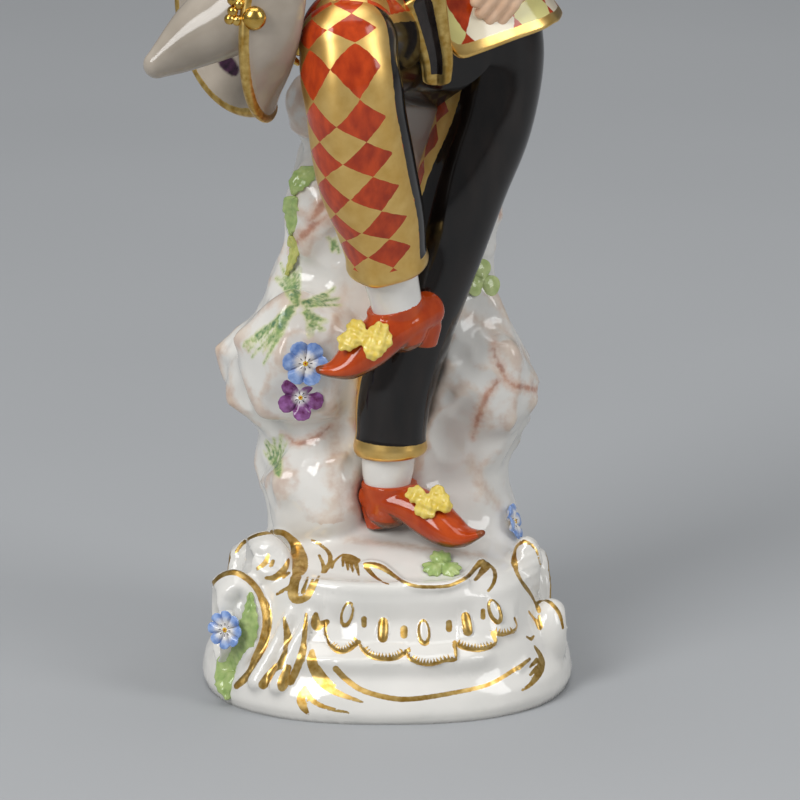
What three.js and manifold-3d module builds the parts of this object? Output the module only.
// A porcelain harlequin standing against a crag on a rocaille plinth.
// Millimetres, +Z up, the front towards -Y, the origin at the middle of the plinth's underside.
import * as THREE from "three";
import { ParametricGeometry } from "three/addons/geometries/ParametricGeometry.js";
import { mergeVertices } from "three/addons/utils/BufferGeometryUtils.js";
import Module from "manifold-3d";

const wasm = await Module();
wasm.setup();

// Driving dimensions
const PLINTH_WIDTH = 65;
const PLINTH_DEPTH = 57;
const PLINTH_HEIGHT = 22; // from the underside to the ground that the figure stands on
const ROCK_HEIGHT = 82; // from that ground to the top of the crag
const ROCK_WIDTH = 57;
const ROCK_DEPTH = 34;
const FIGURE_HEIGHT = 164; // from the standing shoe's sole to the crown of the head
const MOUND_HEIGHT = 4.5; // how far the ground swells up under the standing shoe
const JOIN_GAP = 0.3; // between pieces that touch
const FLOWER_WIDTH = 7.4; // the largest applied flower
const PETAL_THICKNESS = 1.7;
const LEAF_WIDTH = 3.4;
const LEAF_THICKNESS = 1.8;

const vec = (x, y, z) => new THREE.Vector3(x, y, z);
const TAU = Math.PI * 2;
const smooth = (t) => t * t * (3 - 2 * t);
const between = (value, low, high) => THREE.MathUtils.clamp((value - low) / (high - low), 0, 1);

// A closed geometry as a solid with its faces pointing out.
function solid(geometry) {
  const bare = geometry.index ? geometry.toNonIndexed() : geometry.clone();
  bare.deleteAttribute("normal");
  bare.deleteAttribute("uv");
  const merged = mergeVertices(bare, 1e-4);
  const corners = merged.index.array;
  const faces = [];
  for (let i = 0; i < corners.length; i += 3) {
    const [a, b, c] = corners.slice(i, i + 3);
    if (a !== b && b !== c && a !== c) faces.push(a, b, c);
  }
  const build = (list) =>
    new wasm.Manifold(
      new wasm.Mesh({
        numProp: 3,
        vertProperties: merged.attributes.position.array,
        triVerts: new Uint32Array(list),
      }),
    );
  const made = build(faces);
  return made.volume() > 0 ? made : build(faces.reverse());
}

const join = (solids) => solids.reduce((sum, next) => sum.add(next));

// A surface that closes on itself in u and shrinks to a point at v = 0 and v = 1.
function closedSurface(point, around, along) {
  const wrapped = (u, v, target) => target.copy(point(u >= 1 ? 0 : u, v));
  return solid(new ParametricGeometry(wrapped, around, along));
}

// A limb: rings on a smooth curve through stations [x, y, z, half width, half depth].
// Each end is domed or cut flat; across is the direction that the widths are measured along.
function limb(stations, options = {}) {
  const { sides = 10, across = vec(1, 0, 0), domes = [true, true], grow = 0, steps = 2 } = options;
  const path = new THREE.CatmullRomCurve3(stations.map(([x, y, z]) => vec(x, y, z)));
  const girth = new THREE.CatmullRomCurve3(
    stations.map(([, , , width, depth = width]) => vec(width + grow, depth + grow, 0)),
    false,
    "catmullrom",
    0.5,
  );
  const rings = [];
  const spans = (stations.length - 1) * steps;
  for (let i = 0; i <= spans; i++) rings.push({ t: i / spans, share: 1, reach: 0 });
  const shoulder = { share: 0.74, reach: 0.62 };
  const crown = { share: 0, reach: 0.88 };
  const flat = { share: 0, reach: 0 };
  if (domes[0]) rings.unshift({ t: 0, share: shoulder.share, reach: -shoulder.reach });
  if (domes[1]) rings.push({ t: 1, ...shoulder });
  rings.unshift({ t: 0, share: 0, reach: domes[0] ? -crown.reach : flat.reach });
  rings.push({ t: 1, ...(domes[1] ? crown : flat) });
  const placed = rings.map(({ t, share, reach }) => {
    const along = path.getTangent(t);
    const side = across.clone().addScaledVector(along, -across.dot(along)).normalize();
    const { x: width, y: depth } = girth.getPoint(t);
    const centre = path.getPoint(t).addScaledVector(along, reach * Math.min(width, depth));
    return { centre, side, back: side.clone().cross(along), width: width * share, depth: depth * share };
  });
  return closedSurface(
    (u, v) => {
      const ring = placed[Math.round(v * (placed.length - 1))];
      return ring.centre
        .clone()
        .addScaledVector(ring.side, ring.width * Math.cos(u * TAU))
        .addScaledVector(ring.back, ring.depth * Math.sin(u * TAU));
    },
    sides,
    placed.length - 1,
  );
}

// An ellipsoid with its own axes, turned by Euler angles in radians.
function ball(centre, radii, { turn = [0, 0, 0], around = 12, along = 8 } = {}) {
  const geometry = new THREE.SphereGeometry(1, around, along);
  geometry.scale(...radii);
  geometry.applyMatrix4(new THREE.Matrix4().makeRotationFromEuler(new THREE.Euler(...turn)));
  geometry.translate(...centre);
  return solid(geometry);
}

// The plinth: an oval drawn in from a flat underside to the ground on top, with scrolls that
// bulge from its wall.
// Angles run from +X anticlockwise seen from above, so the front is at -90 degrees.
const degrees = Math.PI / 180;
const SCROLLS = [
  // its angle on the plinth, its height as a share of the plinth's, how far its middle stands off the wall,
  // its half sizes along, out and up, and how far its dish is sunk into it to one side
  { angle: 207, high: 0.6, off: 1.6, along: 7.2, out: 5.2, up: 9.2, dish: -3.2 },
  { angle: 202, high: 1.0, off: -0.8, along: 6.6, out: 4.4, up: 5.4, dish: -2.4 },
  { angle: 349, high: 0.93, off: 0, along: 3.4, out: 3, up: 5.6, dish: 1.4 },
  { angle: 344, high: 0.5, off: -0.6, along: 4.2, out: 3.2, up: 5.6, dish: 2 },
  { angle: 22, high: 0.55, off: -0.8, along: 6.4, out: 3.8, up: 8.4, dish: -2.2 },
  { angle: 90, high: 0.66, off: -0.8, along: 6.4, out: 3.6, up: 7.4, dish: 2 },
  { angle: 158, high: 0.6, off: -0.8, along: 6, out: 3.8, up: 7.8, dish: 2.2 },
];
const FRONT = -90;
const SHELL_HALF_ANGLE = 44;
// Height as a share of the plinth's, then how far the wall is drawn in, as a share of half the depth:
// first all round, then in the front shell.
const PLINTH_PROFILE = [
  [0, 0.03, 0.02],
  [0.08, 0, 0],
  [0.2, 0.02, 0.03],
  [0.34, 0.1, 0.1],
  [0.47, 0.14, 0.085],
  [0.57, 0.18, 0.2],
  [0.72, 0.21, 0.25],
  [0.9, 0.25, 0.24],
  [1, 0.33, 0.28],
];

const turnTo = (a, b) => ((((a - b + 180) % 360) + 360) % 360) - 180;

// How far a point of the plan stands from the middle, before the wall is drawn in.
function planRadius(angle) {
  const c = Math.cos(angle * degrees);
  const s = Math.sin(angle * degrees);
  const power = 2.35;
  const halfWidth = PLINTH_WIDTH / 2 - 0.6;
  const halfDepth = PLINTH_DEPTH / 2;
  return (Math.abs(c / halfWidth) ** power + Math.abs(s / halfDepth) ** power) ** (-1 / power);
}

const shellShare = (angle) =>
  smooth(1 - between(Math.abs(turnTo(angle, FRONT)), SHELL_HALF_ANGLE * 0.75, SHELL_HALF_ANGLE));

// A point on the plinth's wall; out moves it off the wall.
function onPlinth(angle, heightShare, out = 0) {
  const last = PLINTH_PROFILE.length - 1;
  let k = 0;
  while (k < last - 1 && heightShare > PLINTH_PROFILE[k + 1][0]) k++;
  const [lowZ, lowPlain, lowShell] = PLINTH_PROFILE[k];
  const [highZ, highPlain, highShell] = PLINTH_PROFILE[k + 1];
  const t = (heightShare - lowZ) / (highZ - lowZ);
  const plain = lowPlain + (highPlain - lowPlain) * t;
  const shell = lowShell + (highShell - lowShell) * t;
  const drawnIn = (plain + (shell - plain) * shellShare(angle)) * (PLINTH_DEPTH / 2);
  const radius = planRadius(angle) - drawnIn + out;
  const turned = angle * degrees;
  return vec(radius * Math.cos(turned), radius * Math.sin(turned), heightShare * PLINTH_HEIGHT);
}

function plinthBody() {
  const around = 32;
  const last = PLINTH_PROFILE.length - 1;
  return closedSurface(
    (u, v) => {
      const row = Math.round(v * (last + 3)) - 1;
      const middle = vec(0, 0, row < last ? 0 : PLINTH_HEIGHT);
      if (row < 0 || row > last + 1) return middle;
      const wall = onPlinth(u * 360, PLINTH_PROFILE[Math.min(row, last)][0]);
      return row > last ? wall.lerp(middle, 0.12) : wall;
    },
    around,
    last + 3,
  );
}

// A scroll of the plinth: a bulge with a dish sunk in its open side, which leaves a curled rim.
function scroll({ angle, high, off, along, out, up, dish }) {
  const turn = [0, 0, angle * degrees];
  const outward = vec(Math.cos(turn[2]), Math.sin(turn[2]), 0);
  const sideways = vec(-outward.y, outward.x, 0);
  const middle = onPlinth(angle, Math.min(high, 1), off);
  middle.z = high * PLINTH_HEIGHT;
  const bulge = ball(middle.toArray(), [out, along, up], { turn, around: 8, along: 5 });
  const sunk = middle.addScaledVector(outward, out * 0.95).addScaledVector(sideways, dish);
  const hollow = ball(sunk.toArray(), [out * 0.8, along * 0.78, up * 0.8], { turn, around: 6, along: 4 });
  return bulge.subtract(hollow);
}

// The front shell: a scalloped edge below, a row of long bosses, and a rolled lip above.
const SCALLOPS = 6;
const BOSSES = 5;
function frontShell() {
  const lip = [];
  const lipSteps = SCALLOPS * 3;
  for (let i = 0; i <= lipSteps; i++) {
    const t = i / lipSteps;
    const swing = 2 * t - 1;
    const drop = Math.abs(Math.sin(Math.PI * SCALLOPS * t)) * 0.075;
    const place = onPlinth(FRONT + swing * SHELL_HALF_ANGLE, 0.62 - 0.15 * (1 - swing * swing) - drop, -0.2);
    lip.push([place.x, place.y, place.z, 0.85]);
  }
  const roll = [];
  const rollSteps = 6;
  for (let i = 0; i <= rollSteps; i++) {
    const swing = (2 * i) / rollSteps - 1;
    const place = onPlinth(FRONT + swing * SHELL_HALF_ANGLE * 0.82, 0.95, -1.2);
    roll.push([place.x, place.y, place.z + 0.6 * swing * swing, 1.7 - 0.5 * swing * swing]);
  }
  const pieces = [
    limb(lip, { sides: 4, steps: 1, across: vec(0, 0, 1) }),
    limb(roll, { sides: 6, steps: 1, across: vec(0, 0, 1) }),
  ];
  for (let i = 0; i < BOSSES; i++) {
    const swing = (2 * i) / (BOSSES - 1) - 1;
    const angle = FRONT + swing * SHELL_HALF_ANGLE * 0.72;
    const place = onPlinth(angle, 0.71 - 0.06 * (1 - swing * swing), -0.1);
    const turn = [0, 0, angle * degrees];
    pieces.push(ball(place.toArray(), [0.9, 1.05, 2.2], { turn, around: 5, along: 4 }));
  }
  return join(pieces);
}

// Two leafy flutes that run down from between the left scrolls to the flange.
function leftFlutes() {
  return join(
    [229, 237].map((angle) => {
      const stations = [0.76, 0.5, 0.24].map((high, i) => {
        const place = onPlinth(angle - i * 2.4, high, 0.1);
        return [place.x, place.y, place.z, 0.8 + 0.45 * i];
      });
      return limb(stations, { sides: 6, steps: 1, across: vec(0, 0, 1) });
    }),
  );
}

// The crag, in shares of its own height, width and depth: at each height its left and right, front and back.
const CRAG_ROWS = [
  [-0.04, -0.37, 0.41, -0.24, 0.6],
  [0.06, -0.37, 0.38, -0.08, 0.6],
  [0.15, -0.385, 0.365, 0.0, 0.62],
  [0.225, -0.4, 0.42, -0.02, 0.66],
  [0.305, -0.48, 0.47, -0.06, 0.7],
  [0.4, -0.51, 0.42, -0.08, 0.7],
  [0.49, -0.385, 0.34, 0.03, 0.68],
  [0.585, -0.32, 0.31, 0.1, 0.7],
  [0.68, -0.31, 0.34, 0.12, 0.72],
  [0.77, -0.27, 0.355, 0.15, 0.74],
  [0.855, -0.265, 0.33, 0.2, 0.74],
  [0.93, -0.3, 0.29, 0.22, 0.72],
  [0.985, -0.26, 0.2, 0.3, 0.66],
];
const CRAG_SIDES = 14;
const BOULDERS = [
  // x, y, z of the middle, half sizes, then a turn about each axis
  [-0.25, 0.06, 0.41, 0.23, 0.32, 0.17, 0.5, 0.3, 1.0],
  [0.27, 0.2, 0.34, 0.2, 0.32, 0.16, 0.1, 0.6, 0.2],
  [-0.2, 0.07, 0.12, 0.2, 0.3, 0.15, 0.3, 0.0, 0.7],
  [-0.2, 0.3, 0.7, 0.12, 0.24, 0.15, 0.9, 0.4, 0.0],
  [-0.235, 0.28, 0.925, 0.085, 0.16, 0.08, 0.0, 0.3, 0.8],
];
// How far the facets of the crag swell and draw back, as a share of its girth.
const FACET_RELIEF = 0.085;

// A point on or in the crag, as shares of its width, depth and height.
const onCrag = (x, y, z) => vec(x * ROCK_WIDTH, y * ROCK_DEPTH, PLINTH_HEIGHT + z * ROCK_HEIGHT);

function cragBody() {
  const last = CRAG_ROWS.length - 1;
  const middleOf = ([height, left, right, front, back]) =>
    onCrag((left + right) / 2, (front + back) / 2, height);
  return closedSurface(
    (u, v) => {
      const row = Math.round(v * (last + 2)) - 1;
      if (row < 0) return middleOf(CRAG_ROWS[0]);
      if (row > last) return middleOf(CRAG_ROWS[last]).add(vec(0, 0, ROCK_HEIGHT * 0.015));
      const [, left, right, front, back] = CRAG_ROWS[row];
      const side = u * CRAG_SIDES;
      const swell = 1 + FACET_RELIEF * Math.sin(2.4 * side + 1.9 * row) * Math.cos(1.1 * side - 0.8 * row);
      const angle = (u + 0.5 * (row % 2) * (1 / CRAG_SIDES)) * TAU;
      const square = (Math.abs(Math.cos(angle)) ** 2.8 + Math.abs(Math.sin(angle)) ** 2.8) ** (-1 / 2.8);
      const x = ((right - left) / 2) * ROCK_WIDTH * Math.cos(angle) * square * swell;
      const y = ((back - front) / 2) * ROCK_DEPTH * Math.sin(angle) * square * swell;
      return middleOf(CRAG_ROWS[row]).add(vec(x, y, 0));
    },
    CRAG_SIDES,
    last + 2,
  );
}

function crag() {
  const boulders = BOULDERS.map(([x, y, z, halfX, halfY, halfZ, ...turn]) => {
    const geometry = new THREE.IcosahedronGeometry(1, 0);
    geometry.applyMatrix4(new THREE.Matrix4().makeRotationFromEuler(new THREE.Euler(...turn)));
    geometry.scale(halfX * ROCK_WIDTH, halfY * ROCK_DEPTH, halfZ * ROCK_HEIGHT);
    geometry.translate(x * ROCK_WIDTH, y * ROCK_DEPTH, PLINTH_HEIGHT + z * ROCK_HEIGHT);
    return solid(geometry);
  });
  const moundFoot = 4;
  const mound = ball([1.5, 0, PLINTH_HEIGHT - moundFoot], [25, 19, MOUND_HEIGHT + moundFoot], {
    around: 14,
    along: 6,
  });
  return join([cragBody(), ...boulders, mound]);
}

// The figure is drawn in units of its own height, x and y from the plinth's middle, z from the
// ground at its foot.
const FIGURE_UNITS = 164;
const unit = FIGURE_HEIGHT / FIGURE_UNITS;
const groundHeight = PLINTH_HEIGHT + MOUND_HEIGHT;
const figurePoint = ([x, y, z]) => [x * unit, y * unit, groundHeight + z * unit];

function figureLimb(stations, options) {
  const placed = stations.map(([x, y, z, width, depth = width]) => [
    ...figurePoint([x, y, z]),
    width * unit,
    depth * unit,
  ]);
  return limb(placed, options);
}

const figureBall = (centre, radii, { grow = 0, ...options } = {}) =>
  ball(
    figurePoint(centre),
    radii.map((radius) => radius * unit + grow),
    options,
  );

// The standing leg: a long tight trouser leg to the calf, a stocking and a heeled shoe.
function standingLeg(grow) {
  const trouser = [
    [0.7, -3, 13.9, 5.9],
    [0.7, -3, 16.5, 5.9],
    [1.5, -2.5, 24.7, 6.5],
    [4.7, -1, 36.6, 7],
    [8.9, 0.5, 48.5, 7.2],
    [12.6, 2, 60.1, 7.8],
    [16.3, 4, 70, 8.2],
    [18, 6, 80.1, 8.6],
    [17, 6, 87.5, 9],
  ];
  const stocking = [
    [-0.1, -2.8, 7, 4.4],
    [-0.1, -3, 10, 4.4],
    [0.4, -3, 15.5, 4.7],
  ];
  const upper = [
    [-2.4, -1.4, 6, 3.5, 2.5],
    [0.5, -2.9, 6, 4.6, 2.8],
    [4, -5.2, 5.4, 4.3, 3.2],
    [7, -7.2, 4, 4, 3.6],
    [10, -9.3, 2.2, 3.8, 3],
    [12.6, -11, 1.4, 3, 2],
    [14.8, -12.2, 1.9, 1.9, 1],
    [16, -12.9, 2.5, 1, 0.6],
  ];
  const collar = [
    [0.4, -2.8, 4.5, 4.4],
    [0.4, -2.8, 8.7, 4.9],
  ];
  const heel = [
    [-1.8, -1.6, 4.5, 3],
    [-1.1, -1.8, 0.5, 2.6],
  ];
  const lobes = [
    [-2.2, 1.2, 1.4, 1.3],
    [1.5, 1, 1.6, 1.5],
    [-0.5, -1.2, 1.7, 1.4],
    [2.7, -0.7, 1.1, 1.1],
  ];
  return join([
    figureLimb(trouser, { domes: [false, true], sides: 9, steps: 1, grow }),
    figureLimb(stocking, { sides: 7, steps: 1, grow }),
    shoe(upper, collar, heel, grow),
    bow([7, -10, 7.1], lobes, grow),
  ]);
}

// The raised leg: the thigh comes forward, the shin hangs down and the toe points to the figure's right.
// A round button sits on the outer seam by the knee.
function raisedLeg(grow) {
  const thigh = [
    [2, 8, 83.5, 10, 9.5],
    [-1, -3, 85.5, 9.8, 9.5],
    [-4, -14, 88, 9],
    [-6.2, -22, 89.5, 8],
  ];
  const shin = [
    [-6.2, -24, 89, 8.2, 8],
    [-5.5, -26, 81.5, 8.1, 8],
    [-3.4, -23, 67.5, 8.3, 7.8],
    [-1.1, -19.5, 58.1, 7.5, 7.2],
    [0.3, -17, 49.5, 6.3],
  ];
  const stocking = [
    [0, -17.4, 51, 4.8],
    [1.5, -16, 43.8, 4.3],
    [2, -15.6, 41.5, 4.2],
  ];
  const upper = [
    [6.6, -12.4, 41.2, 3.4, 3.2],
    [3, -15, 40.2, 4.5, 3.4],
    [-0.5, -17.2, 38.3, 4.3, 3.7],
    [-3.6, -19, 36, 4, 3.6],
    [-6.6, -20.3, 33.8, 3.4, 2.6],
    [-9.2, -21.2, 33.1, 2.2, 1.3],
    [-11.2, -21.8, 33.3, 1.2, 0.7],
  ];
  const collar = [
    [2.6, -14.9, 38.6, 4.4],
    [1.2, -15.5, 43.1, 4.9],
  ];
  const heel = [
    [6.3, -12.3, 38.5, 2.9],
    [5.9, -12, 35.2, 2.5],
  ];
  const lobes = [
    [-1.5, 2, 1.3, 1.4],
    [-2.7, -0.3, 1.7, 1.5],
    [2.4, 0.5, 1.9, 2.1],
    [1.5, -1.7, 1.7, 1.5],
  ];
  return join([
    figureLimb(thigh, { sides: 10, steps: 1, grow }),
    figureLimb(shin, { domes: [true, false], sides: 10, steps: 1, grow }),
    figureLimb(stocking, { sides: 7, steps: 1, grow }),
    shoe(upper, collar, heel, grow),
    bow([-3.6, -22.4, 38.6], lobes, grow),
    figureBall([-13.2, -14, 86.5], [1.5, 1.5, 1.5], { around: 6, along: 4, grow }),
  ]);
}

// A heeled slipper: its upper, with the toe turned up, the collar round the ankle and the heel block.
function shoe(upper, collar, heel, grow) {
  return join([
    figureLimb(upper, { across: vec(0.5, 1, 0), sides: 8, steps: 1, grow }),
    figureLimb(collar, { domes: [true, false], sides: 8, steps: 1, grow }),
    figureLimb(heel, { domes: [true, false], sides: 6, steps: 1, grow }),
  ]);
}

// A shoe's crumpled ribbon bow. Each lobe: right of the knot and up the vamp, then its half sizes.
function bow([x, y, z], lobes, grow) {
  const lean = 37 * degrees;
  const pieces = [[0, 0, 1.2, 1.2], ...lobes].map(([aside, up, halfWide, halfHigh]) => {
    const place = [x + aside, y + up * Math.sin(lean), z + up * Math.cos(lean)];
    return figureBall(place, [halfWide, 1.1, halfHigh], { turn: [-lean, 0, 0], around: 6, along: 4, grow });
  });
  return join(pieces);
}

// The jacket's skirt flares from the waist to a rolled hem, cut away in front over the raised thigh.
function jacketSkirt(grow) {
  const sides = 20;
  const middle = { waist: [8, 6, 101], hem: [9.5, 4, 85.5] };
  const opening = -11; // degrees from the front towards the left hand
  const hemHeight = (angle) => {
    const off = turnTo(angle, opening);
    const side = off > 0 ? 84.8 : 89;
    const edge = between(Math.abs(off), 0, 22);
    const back = between(Math.abs(off), 22, 80) ** 0.75;
    return 97 + (side - 97) * edge + (88.6 - side) * back;
  };
  const ring = (angle, drop, inset) => {
    const low = hemHeight(angle);
    const z = middle.waist[2] + (low - middle.waist[2]) * drop;
    const flare = (middle.waist[2] - z) / (middle.waist[2] - middle.hem[2]);
    const x = middle.waist[0] + (middle.hem[0] - middle.waist[0]) * flare;
    const y = middle.waist[1] + (middle.hem[1] - middle.waist[1]) * flare;
    const width = 13 + 7 * flare - inset;
    const depth = 9.2 + 4 * flare - inset;
    const sine = Math.sin(angle * degrees);
    const cosine = Math.cos(angle * degrees);
    const place = figurePoint([x + width * sine, y - depth * cosine, z]);
    return vec(place[0] + grow * sine, place[1] - grow * cosine, place[2]);
  };
  const rows = [
    [0, 0],
    [0.4, 0],
    [0.9, -0.3],
    [1, 0.1],
    [0.97, 1.7],
  ];
  return closedSurface(
    (u, v) => {
      const row = Math.round(v * (rows.length + 1)) - 1;
      if (row < 0) return vec(...figurePoint(middle.waist));
      if (row >= rows.length) return vec(...figurePoint([9, 5, 97]));
      return ring(u * 360, ...rows[row]);
    },
    sides,
    rows.length + 1,
  );
}

// The end of the sash, hanging between the thighs, its rim turned up round a hollow middle.
function sashEnd(grow) {
  const tongue = [
    [6.6, -14.2, 93.5, 3.7, 1.4],
    [8, -13.4, 88.5, 3, 1.4],
    [8.8, -12.4, 84.5, 2.5, 1.4],
    [8.6, -11.4, 81.6, 2.1, 1.2],
  ];
  const knot = figureBall([5.5, -9.5, 95], [4.2, 3.5, 3.2], { grow });
  return join([figureLimb(tongue, { across: vec(1, 0.3, 0), sides: 8, steps: 1, grow }), knot]);
}

function body(grow) {
  const torso = [
    [8, 6, 99, 12.6, 8.6],
    [7.2, 5.5, 110, 13.9, 9.4],
    [6, 5, 121, 15.4, 9.6],
    [5.6, 5, 129.5, 13.4, 8.2],
    [5.2, 4.6, 134, 7.5, 6],
  ];
  return join([
    figureBall([9.5, 7, 83.5], [16, 11, 12], { around: 10, along: 6, grow }),
    figureLimb(torso, { sides: 12, steps: 1, grow }),
    jacketSkirt(grow),
    sashEnd(grow),
  ]);
}

// A hand: a palm, four fingers curled by so much, and a thumb. Forward and outward set how it is held.
function hand(wrist, forward, outward, curl) {
  const ahead = vec(...forward).normalize();
  const out = vec(...outward);
  out.addScaledVector(ahead, -out.dot(ahead)).normalize();
  const edge = ahead.clone().cross(out);
  const at = (along, aside, off) =>
    vec(...wrist)
      .addScaledVector(ahead, along)
      .addScaledVector(edge, aside)
      .addScaledVector(out, off)
      .toArray();
  const pieces = [
    figureLimb(
      [
        [...at(-1.5, 0, 0), 2.4, 2],
        [...at(3, 0, 0.2), 3.3, 1.7],
        [...at(6, 0, 0), 3.2, 1.5],
      ],
      { sides: 6, across: edge, steps: 1 },
    ),
  ];
  const fingers = [
    [-2.5, 4.6],
    [-0.9, 5.4],
    [0.8, 5.2],
    [2.4, 4.2],
  ];
  for (const [aside, length] of fingers) {
    const joints = [0, 0.5, 1].map((t) => [
      ...at(5.2 + length * Math.sin(t * curl) / curl, aside, -(length * (1 - Math.cos(t * curl))) / curl),
      0.95 - 0.2 * t,
    ]);
    pieces.push(figureLimb(joints, { sides: 4, across: edge, steps: 1 }));
  }
  const thumb = [
    [...at(1.5, -2.4, -0.3), 1.2],
    [...at(4.2, -4, -1), 1],
    [...at(6.2, -4, -1.8), 0.75],
  ];
  pieces.push(figureLimb(thumb, { sides: 4, across: edge, steps: 1 }));
  return join(pieces);
}

function arms() {
  const left = [
    [19.5, 6, 129.5, 6.4],
    [25, 7.5, 124.5, 6.6],
    [32, 9.8, 116, 5.9],
    [37.2, 9.8, 109, 5.2],
    [34.5, 4.5, 106.2, 4.9],
    [28.5, -1, 104, 4.7],
    [25, -3.4, 102.8, 4.8],
  ];
  const right = [
    [-7.5, 3, 129.5, 6.4],
    [-13, 3.6, 124.5, 6.6],
    [-20.5, 5, 114.5, 5.9],
    [-26.4, 5, 106.5, 5.2],
    [-25.6, -1, 106.6, 4.9],
    [-23, -8.5, 109, 4.7],
    [-21.6, -12, 110.4, 4.9],
  ];
  return join([
    figureLimb(left, { domes: [true, false], sides: 8, steps: 1 }),
    figureLimb(right, { domes: [true, false], sides: 8, steps: 1 }),
    hand([23.1, -4.6, 100.3], [-4.7, -2.6, -8.4], [5, -8.5, 0], 0.5),
    hand([-20.8, -14, 111.2], [2.5, -5.5, 0.5], [-1.5, -0.6, 2], 1.6),
  ]);
}

// The hat that the right hand holds: a soft cone drooping to the left, its brim turned up in
// front and behind.
const HAT = {
  join: vec(-17.2, -17.5, 94.1),
  lowCorner: vec(-0.16, -0.05, -0.985).normalize(),
  front: vec(0.34, -1, 0),
  crown: 8.3,
  thickness: 0.75,
};
const hatFront = HAT.front.clone().addScaledVector(HAT.lowCorner, -HAT.front.dot(HAT.lowCorner)).normalize();
const hatAxis = HAT.lowCorner.clone().cross(hatFront).normalize();

function hatCrown() {
  const crown = [
    [-17.2, -17.5, 94, 8.3],
    [-23.9, -19.6, 93.2, 7.2],
    [-29.4, -21.3, 90.3, 5.6],
    [-34.5, -22.9, 86.9, 3.6],
    [-37.5, -23.8, 85, 2.3],
  ];
  return figureLimb(crown, { sides: 10, steps: 1, across: hatFront, domes: [false, true] });
}

// The brim at an angle from the front towards the low corner: how wide it is, and the slope that
// it leaves the crown with and the one that it is turned up to.
function brimAt(angle) {
  const front = Math.max(0, Math.cos(angle)) ** 1.2;
  const back = Math.max(0, -Math.cos(angle)) ** 1.2;
  const corner = Math.sin(angle) ** 2;
  const tucked = 1 - 0.4 * back * Math.max(0, -Math.sin(angle));
  return {
    width: (15 * front + 21 * back + 9.8 * corner) * tucked,
    flared: -(22 + 20 * Math.max(0, Math.sin(angle)) ** 2) * degrees,
    turnedUp: (4 + 80 * front + 44 * back) * degrees,
  };
}

function hatBrim() {
  const sides = 20;
  const onBrim = (angle, reach, off) => {
    const radial = hatFront.clone().multiplyScalar(Math.cos(angle));
    radial.addScaledVector(HAT.lowCorner, Math.sin(angle));
    const { width, flared, turnedUp } = brimAt(angle);
    const place = HAT.join.clone().addScaledVector(radial, HAT.crown);
    const steps = 12;
    let slope = flared;
    for (let i = 0; i < steps * reach; i++) {
      slope = flared + (turnedUp - flared) * between((i + 0.5) / steps, 0, 0.42);
      place.addScaledVector(radial, (Math.cos(slope) * width) / steps);
      place.addScaledVector(hatAxis, (Math.sin(slope) * width) / steps);
    }
    place.addScaledVector(radial, Math.sin(slope) * off).addScaledVector(hatAxis, -Math.cos(slope) * off);
    return vec(...figurePoint(place.toArray()));
  };
  const rows = [
    [0, HAT.thickness],
    [0.25, HAT.thickness],
    [0.5, HAT.thickness],
    [1, HAT.thickness],
    [1, -HAT.thickness],
    [0.5, -HAT.thickness],
    [0.25, -HAT.thickness],
    [0, -HAT.thickness],
  ];
  const pole = (off) => vec(...figurePoint(HAT.join.clone().addScaledVector(hatAxis, off).toArray()));
  return closedSurface(
    (u, v) => {
      const row = Math.round(v * (rows.length + 1)) - 1;
      if (row < 0) return pole(-HAT.thickness);
      if (row >= rows.length) return pole(HAT.thickness);
      return onBrim(u * TAU, ...rows[row]);
    },
    sides,
    rows.length + 1,
  );
}

function hatHollow() {
  const inside = [-5, 0, 6].map((along, i) => [
    ...HAT.join.clone().addScaledVector(hatAxis, along).toArray(),
    HAT.crown - 1 - 0.7 * i,
  ]);
  return figureLimb(inside, { sides: 9, across: hatFront, steps: 1 });
}

// The round button on the front flap and the little cluster of beads beside it.
const HAT_BUTTON = [-21.2, -34.3, 94.8];
const BEADS = [
  [-2.6, -0.3],
  [-3.7, 0],
  [-2.9, 1.6],
];
function hatTrim() {
  const [x, y, z] = HAT_BUTTON;
  const beads = BEADS.map(([aside, up]) =>
    figureBall([x + aside, y + 0.2, z + up], [0.95, 0.95, 0.95], { around: 5, along: 3 }),
  );
  return join([figureBall(HAT_BUTTON, [2, 1.8, 2], { around: 7, along: 5 }), ...beads]);
}

const hat = () => join([hatCrown(), hatBrim(), hatTrim()]).subtract(hatHollow());

// A gathered ruff: two wavy frills, the upper one smaller.
function ruff() {
  const folds = 10;
  const frill = ([x, y, z], radius, depth) =>
    closedSurface(
      (u, v) => {
        const row = Math.round(v * 4);
        const wave = Math.sin(u * TAU * folds);
        const reach = [0, 0.55, 1, 0.55, 0][row] * radius;
        const off = [-0.5, -0.5, 0.42 * wave, 0.5, 0.5][row] * depth;
        return vec(...figurePoint([x + reach * Math.cos(u * TAU), y + reach * Math.sin(u * TAU), z + off]));
      },
      folds * 2,
      4,
    );
  return join([frill([4.8, 3.8, 136.4], 10.2, 3.2), frill([4.4, 3.2, 139.4], 8.8, 2.8)]);
}

// A calm, plain face on common proportions, with short waved hair.
const HEAD = { middle: [3.2, 1.4, 152.2], turn: -24 * degrees };
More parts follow.
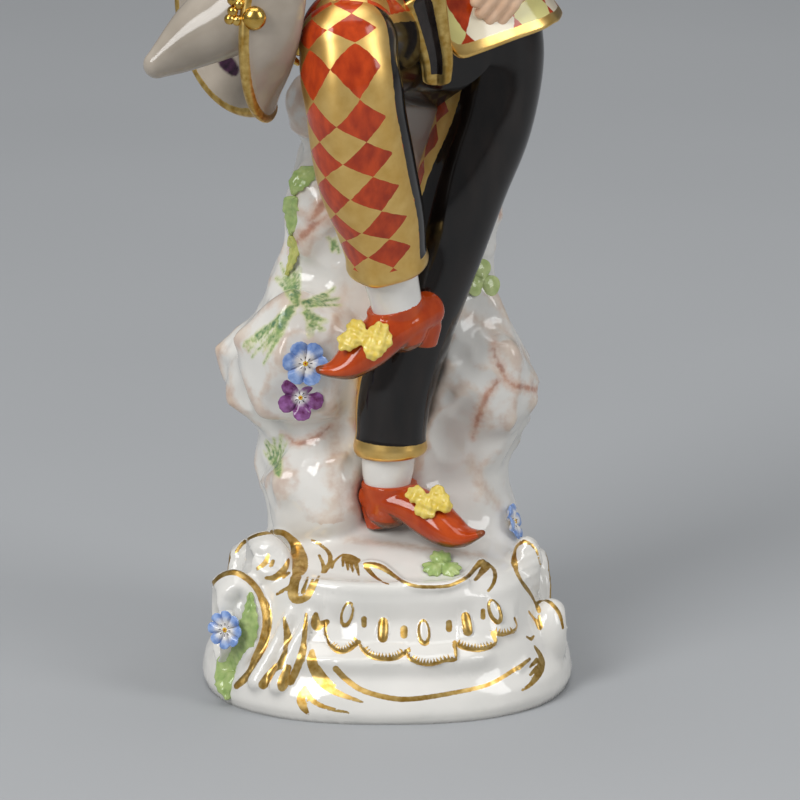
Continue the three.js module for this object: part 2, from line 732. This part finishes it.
// Each row: height from the head's middle, half width, front and back
const SKULL_ROWS = [
  [-11.4, 2.4, -7.4, -2],
  [-9.8, 4, -8.9, 0],
  [-6, 5.7, -9.2, 3],
  [-2, 6.7, -9, 6.5],
  [2.4, 7.3, -8.7, 8.4],
  [6.5, 7, -8.4, 8.4],
  [10, 4.8, -5.4, 6],
];
const HAIR_ROWS = [
  [-5.5, 6.6, 1, 8],
  [-1, 8.3, -0.8, 9.8],
  [4, 8.5, -4.4, 10],
  [7.6, 8.2, -9.4, 9.6],
  [10.6, 5.9, -6.8, 7],
  [12, 2.6, -2.6, 3.4],
];
const headPoint = (x, y, z) => {
  const c = Math.cos(HEAD.turn);
  const s = Math.sin(HEAD.turn);
  const [middleX, middleY, middleZ] = HEAD.middle;
  return [middleX + c * x - s * y, middleY + s * x + c * y, middleZ + z];
};

// A closed form through oval rows, one above the other.
function rowedForm(rows, sides) {
  const last = rows.length - 1;
  return closedSurface(
    (u, v) => {
      const row = Math.round(v * (last + 2)) - 1;
      const [z, halfWidth, front, back] = rows[THREE.MathUtils.clamp(row, 0, last)];
      const share = row < 0 || row > last ? 0 : 1;
      const x = share * halfWidth * Math.cos(u * TAU);
      const y = (front + back) / 2 + share * ((back - front) / 2) * Math.sin(u * TAU);
      return vec(...figurePoint(headPoint(x, y, z)));
    },
    sides,
    last + 2,
  );
}

function head() {
  const nose = [
    [...headPoint(0, -8, 1.2), 0.8],
    [...headPoint(0, -9.4, -2.4), 1.3],
  ];
  const neck = [
    [5, 4.4, 132, 5],
    [4.2, 3.4, 141, 4.7],
    [3.4, 2.6, 147, 4.8],
  ];
  const pieces = [
    rowedForm(SKULL_ROWS, 10),
    rowedForm(HAIR_ROWS, 12),
    figureLimb(nose, { sides: 5, steps: 1 }),
    figureLimb(neck, { sides: 8, steps: 1 }),
  ];
  for (const side of [-1, 1]) {
    const ear = headPoint(7.2 * side, -0.6, -1);
    pieces.push(figureBall(ear, [0.9, 1.4, 2], { turn: [0, 0, HEAD.turn], around: 5, along: 4 }));
    const curl = headPoint(7.4 * side, -2.6, 4.2);
    pieces.push(figureBall(curl, [2, 3, 3], { turn: [0, 0, HEAD.turn], around: 6, along: 4 }));
  }
  return join(pieces);
}

// The whole figure; grow swells what stands against the crag.
const harlequinSolid = (grow = 0) => join([standingLeg(grow), raisedLeg(grow), body(grow)]);
const harlequin = join([harlequinSolid(), arms(), hat(), ruff(), head()]);

// The hollow that the crag draws back into beside the standing leg.
function niche() {
  const centre = [ROCK_WIDTH * 0.22, -ROCK_DEPTH * 0.16, PLINTH_HEIGHT + ROCK_HEIGHT * 0.19];
  return ball(centre, [ROCK_WIDTH * 0.15, ROCK_DEPTH * 0.24, ROCK_HEIGHT * 0.16], { around: 12, along: 8 });
}

const plinth = join([
  plinthBody(),
  ...SCROLLS.map(scroll),
  frontShell(),
  leftFlutes(),
]);
const rockAndPlinth = plinth.add(crag().subtract(niche())).subtract(harlequinSolid(JOIN_GAP));

function geometryOf(made) {
  const mesh = made.getMesh();
  const geometry = new THREE.BufferGeometry();
  geometry.setAttribute("position", new THREE.BufferAttribute(new Float32Array(mesh.vertProperties), 3));
  geometry.setIndex(new THREE.BufferAttribute(new Uint32Array(mesh.triVerts), 1));
  return geometry;
}

const moved = (made, matrix) => {
  const merged = geometryOf(made).applyMatrix4(matrix);
  merged.setAttribute("normal", merged.attributes.position.clone());
  return solid(merged);
};

// Where a straight line that comes in against the facing direction first meets the crag or the plinth.
const bothSides = new THREE.MeshBasicMaterial({ side: THREE.DoubleSide });
const carrier = new THREE.Mesh(geometryOf(rockAndPlinth), bothSides);
const figureClearance = harlequinSolid(JOIN_GAP);

function seat(target, facing) {
  const start = target.clone().addScaledVector(facing, FIGURE_HEIGHT + PLINTH_WIDTH);
  const [hit] = new THREE.Raycaster(start, facing.clone().negate()).intersectObject(carrier);
  return hit ? hit.point : target;
}

// An applied piece stands off what it is set on, and off the figure, by the joint's gap.
function fitted(made, facing) {
  const sideways = vec(-facing.y, facing.x, 0).normalize();
  const upwards = facing.clone().cross(sideways).normalize();
  const ways = [facing, sideways, sideways.clone().negate(), upwards, upwards.clone().negate()];
  let left = made.subtract(figureClearance);
  for (const way of ways) {
    const shift = new THREE.Matrix4().setPosition(way.clone().multiplyScalar(JOIN_GAP));
    left = left.subtract(moved(rockAndPlinth, shift));
  }
  return left;
}

// A flower, or a cluster of round leaves: lobes in a ring, dished round a raised middle.
const FLOWER_ROWS = [
  // share of the radius at a lobe's tip and between two lobes, share of the thickness
  [0.9, 0.6, -0.3],
  [1, 0.76, 0.35],
  [0.62, 0.48, 0.85],
  [0.28, 0.28, 0.45],
];
function flower({ target, facing, petals, width, thickness = PETAL_THICKNESS }) {
  const rows = FLOWER_ROWS.length;
  const bloom = closedSurface(
    (u, v) => {
      const row = Math.round(v * (rows + 1)) - 1;
      if (row < 0) return vec(0, 0, -0.3 * thickness);
      if (row >= rows) return vec(0, 0, 0.85 * thickness);
      const [tip, notch, high] = FLOWER_ROWS[row];
      const lobe = Math.round(u * petals * 2) % 2 === 0 ? tip : notch;
      const radius = (width / 2) * lobe;
      const turned = u * TAU + 0.4;
      return vec(radius * Math.cos(turned), radius * Math.sin(turned), high * thickness);
    },
    petals * 2,
    rows + 1,
  );
  const out = facing.clone().normalize();
  const basis = new THREE.Matrix4().lookAt(out, vec(0, 0, 0), vec(0, 0, 1)).setPosition(seat(target, out));
  return fitted(moved(bloom, basis), out);
}

// A leaf laid along the surface, from its stalk by a middle place to its tip, beside a flower.
function leaf({ from, by, to, facing, beside }) {
  const out = facing.clone().normalize();
  const route = new THREE.CatmullRomCurve3([from, by, to]);
  const shares = [0.2, 0.85, 1, 0.9, 0.65, 0.2];
  const stations = shares.map((share, i) => {
    const place = seat(route.getPoint(i / (shares.length - 1)), out);
    place.addScaledVector(out, LEAF_THICKNESS * 0.35);
    return [...place.toArray(), (LEAF_WIDTH / 2) * share, (LEAF_THICKNESS / 2) * (0.5 + share / 2)];
  });
  const across = to.clone().sub(from).cross(out).normalize();
  const laid = fitted(limb(stations, { sides: 6, steps: 1, across }), out);
  return beside ? laid.subtract(flower(beside)) : laid;
}

// Named, coloured meshes
const glaze = (color) => new THREE.MeshStandardMaterial({ color, roughness: 0.15, metalness: 0 });
const group = new THREE.Group();

function add(name, made, color) {
  const geometry = geometryOf(made);
  geometry.computeVertexNormals();
  const mesh = new THREE.Mesh(geometry, glaze(color));
  mesh.name = name;
  group.add(mesh);
}

const WHITE = "#e4e1da";
const BLUE = "#5b7fc4";
const VIOLET = "#7a4a88";
const GREEN = "#a9bd7c";

add("rock_and_plinth", rockAndPlinth, WHITE);
add("harlequin", harlequin, "#c2481f");

// The applied pieces: where each is set, the way it faces, and its size as a share of a flower's.
const frontFacing = vec(0.1, -1, 0.15);
const backFacing = vec(0.15, 1, 0.1);
const leftScroll = SCROLLS[0];
const leftScrollFacing = vec(-0.5, -0.85, 0.1);
const inLeftScroll = onPlinth(leftScroll.angle + 7.5, leftScroll.high, leftScroll.off);
const underShoe = onPlinth(-53, 1, -7.2);

const FLOWERS = [
  // name, colour, place, facing, petals, share of FLOWER_WIDTH, the flower beside it
  ["violet_flower_on_rock", VIOLET, onCrag(-0.266, 0, 0.341), frontFacing, 5, 0.96],
  ["blue_flower_on_rock", BLUE, onCrag(-0.259, 0, 0.418), frontFacing, 6, 1, "violet_flower_on_rock"],
  ["blue_flower_on_plinth", BLUE, inLeftScroll, leftScrollFacing, 7, 0.78],
  ["leaf_sprig_under_shoe", GREEN, underShoe, vec(0.1, -0.4, 1), 3, 0.95],
  ["clover_sprig", GREEN, onCrag(0.28, 0.2, 0.565), vec(0.5, -0.8, 0.3), 3, 0.9],
  ["blue_flower_at_right", BLUE, onCrag(0.39, 0.12, 0.05), vec(1, -0.2, 0.3), 6, 0.8],
  ["violet_flower_on_back", VIOLET, onCrag(-0.1, 0.7, 0.42), backFacing, 5, 0.9],
];
const clearances = {};
for (const [name, color, target, facing, petals, share, flowerBeside] of FLOWERS) {
  const width = FLOWER_WIDTH * share;
  const bloom = flower({ target, facing, petals, width });
  add(name, flowerBeside ? bloom.subtract(flower(clearances[flowerBeside])) : bloom, color);
  clearances[name] = {
    target,
    facing,
    petals,
    width: width + 3 * JOIN_GAP,
    thickness: PETAL_THICKNESS + 2 * JOIN_GAP,
  };
}

const LEAVES = [
  // name, places of its stalk, middle and tip, facing, the flower beside it
  [
    "leaf_on_plinth",
    onPlinth(leftScroll.angle + 11.5, 0.8, leftScroll.off),
    onPlinth(leftScroll.angle + 15, 0.46, leftScroll.off),
    onPlinth(leftScroll.angle + 6, 0.1),
    leftScrollFacing,
    "blue_flower_on_plinth",
  ],
  [
    "leaf_spray_on_rock",
    onCrag(-0.235, 0.16, 0.8),
    onCrag(-0.288, 0.19, 0.71),
    onCrag(-0.315, 0.2, 0.62),
    vec(-0.75, -0.65, 0.15),
  ],
  [
    "leaf_on_back",
    onCrag(0.03, 0.7, 0.46),
    onCrag(0.11, 0.7, 0.39),
    onCrag(0.16, 0.7, 0.3),
    backFacing,
    "violet_flower_on_back",
  ],
];
for (const [name, from, by, to, facing, flowerBeside] of LEAVES) {
  add(name, leaf({ from, by, to, facing, beside: clearances[flowerBeside] }), GREEN);
}

export default group;
